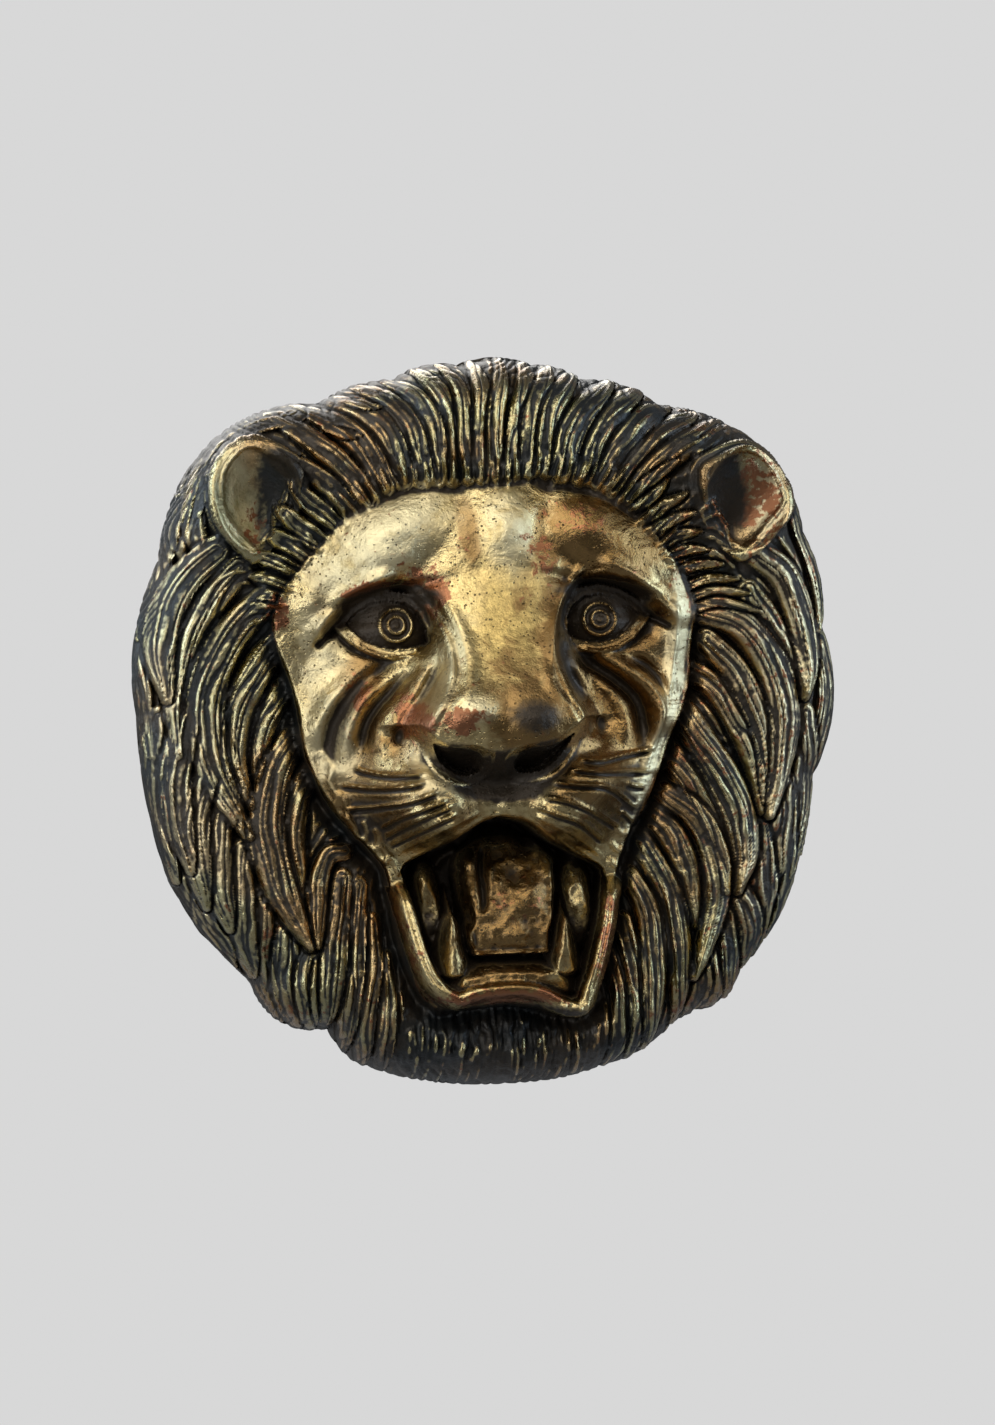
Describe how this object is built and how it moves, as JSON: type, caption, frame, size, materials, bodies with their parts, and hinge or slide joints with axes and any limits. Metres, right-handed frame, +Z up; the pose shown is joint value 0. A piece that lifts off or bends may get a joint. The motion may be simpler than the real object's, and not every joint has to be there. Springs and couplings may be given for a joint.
{
  "type": "door knocker",
  "caption": "Cast lion's-head door mask with an open mouth, round ears and a full mane, hollow behind, held through the door by studs, washers and domed nuts.",
  "frame": {"origin": "centre of the four studs on the back plane of the casting, where it lies on the door", "axes": "+X to the viewer's right, +Y into the door along the studs, +Z up; the face looks along -Y"},
  "size_m": [0.1941, 0.1365, 0.2],
  "materials": {
    "cast_brass": "cast, dark patina in the recesses, polished on the high parts",
    "zinc_steel": "zinc plated",
    "turned_brass": "turned"
  },
  "bodies": {
    "root": {"lion_head": "cast_brass", "stud_top_left": "zinc_steel", "stud_top_right": "zinc_steel", "stud_bottom_left": "zinc_steel", "stud_bottom_right": "zinc_steel", "washer_top_left": "turned_brass", "washer_top_right": "turned_brass", "washer_bottom_left": "turned_brass", "washer_bottom_right": "turned_brass", "spring_washer_top_left": "zinc_steel", "spring_washer_top_right": "zinc_steel", "spring_washer_bottom_left": "zinc_steel", "spring_washer_bottom_right": "zinc_steel", "dome_nut_top_left": "turned_brass", "dome_nut_top_right": "turned_brass", "dome_nut_bottom_left": "turned_brass", "dome_nut_bottom_right": "turned_brass"}
  },
  "joints": []
}
